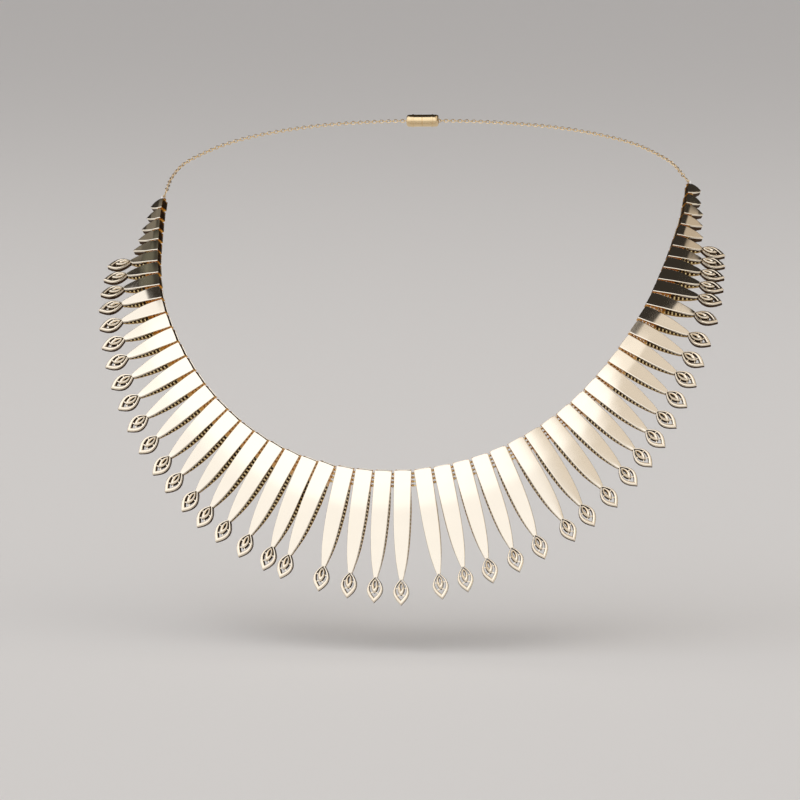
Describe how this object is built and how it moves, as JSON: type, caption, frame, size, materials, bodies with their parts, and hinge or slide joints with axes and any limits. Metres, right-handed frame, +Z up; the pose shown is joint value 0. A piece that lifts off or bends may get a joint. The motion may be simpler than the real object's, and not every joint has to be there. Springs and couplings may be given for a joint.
{
  "type": "bib necklace",
  "caption": "Fringe bib necklace: hollow gold dagger links, graduated and hinged side by side, with pierced marquise tips, a fine back chain and a barrel clasp, held in its worn form",
  "frame": {"origin": "on the axis of the neck, at the height where the chain lies on the shoulders; the mount neck_seat", "axes": "+X along the row towards the wearer's left, the widest way across; +Y from the chest to the nape; +Z up the neck. The links hang from the inner edge, and their faces look towards -Y"},
  "size_m": [0.1689, 0.1191, 0.121],
  "materials": {
    "link_gold": "highly polished yellow gold",
    "chain_gold": "polished yellow gold",
    "clasp_gold": "polished yellow gold"
  },
  "bodies": {
    "root": {"fringe_link_left_01": "link_gold", "fringe_link_left_02": "link_gold", "fringe_link_left_03": "link_gold", "fringe_link_left_04": "link_gold", "fringe_link_left_05": "link_gold", "fringe_link_left_06": "link_gold", "fringe_link_left_07": "link_gold", "fringe_link_left_08": "link_gold", "fringe_link_left_09": "link_gold", "fringe_link_left_10": "link_gold", "fringe_link_left_11": "link_gold", "fringe_link_left_12": "link_gold", "fringe_link_left_13": "link_gold", "fringe_link_left_14": "link_gold", "fringe_link_left_15": "link_gold", "fringe_link_left_16": "link_gold", "fringe_link_left_17": "link_gold", "fringe_link_left_18": "link_gold", "fringe_link_left_19": "link_gold", "fringe_link_left_20": "link_gold", "fringe_link_left_21": "link_gold", "fringe_link_left_22": "link_gold", "plain_link_left_1": "link_gold", "plain_link_left_2": "link_gold", "plain_link_left_3": "link_gold", "plain_link_left_4": "link_gold", "plain_link_left_5": "link_gold", "back_chain_left": "chain_gold", "fringe_link_right_01": "link_gold", "fringe_link_right_02": "link_gold", "fringe_link_right_03": "link_gold", "fringe_link_right_04": "link_gold", "fringe_link_right_05": "link_gold", "fringe_link_right_06": "link_gold", "fringe_link_right_07": "link_gold", "fringe_link_right_08": "link_gold", "fringe_link_right_09": "link_gold", "fringe_link_right_10": "link_gold", "fringe_link_right_11": "link_gold", "fringe_link_right_12": "link_gold", "fringe_link_right_13": "link_gold", "fringe_link_right_14": "link_gold", "fringe_link_right_15": "link_gold", "fringe_link_right_16": "link_gold", "fringe_link_right_17": "link_gold", "fringe_link_right_18": "link_gold", "fringe_link_right_19": "link_gold", "fringe_link_right_20": "link_gold", "fringe_link_right_21": "link_gold", "fringe_link_right_22": "link_gold", "plain_link_right_1": "link_gold", "plain_link_right_2": "link_gold", "plain_link_right_3": "link_gold", "plain_link_right_4": "link_gold", "plain_link_right_5": "link_gold", "back_chain_right": "chain_gold", "fringe_link_centre": "link_gold", "clasp": "clasp_gold"}
  },
  "joints": []
}
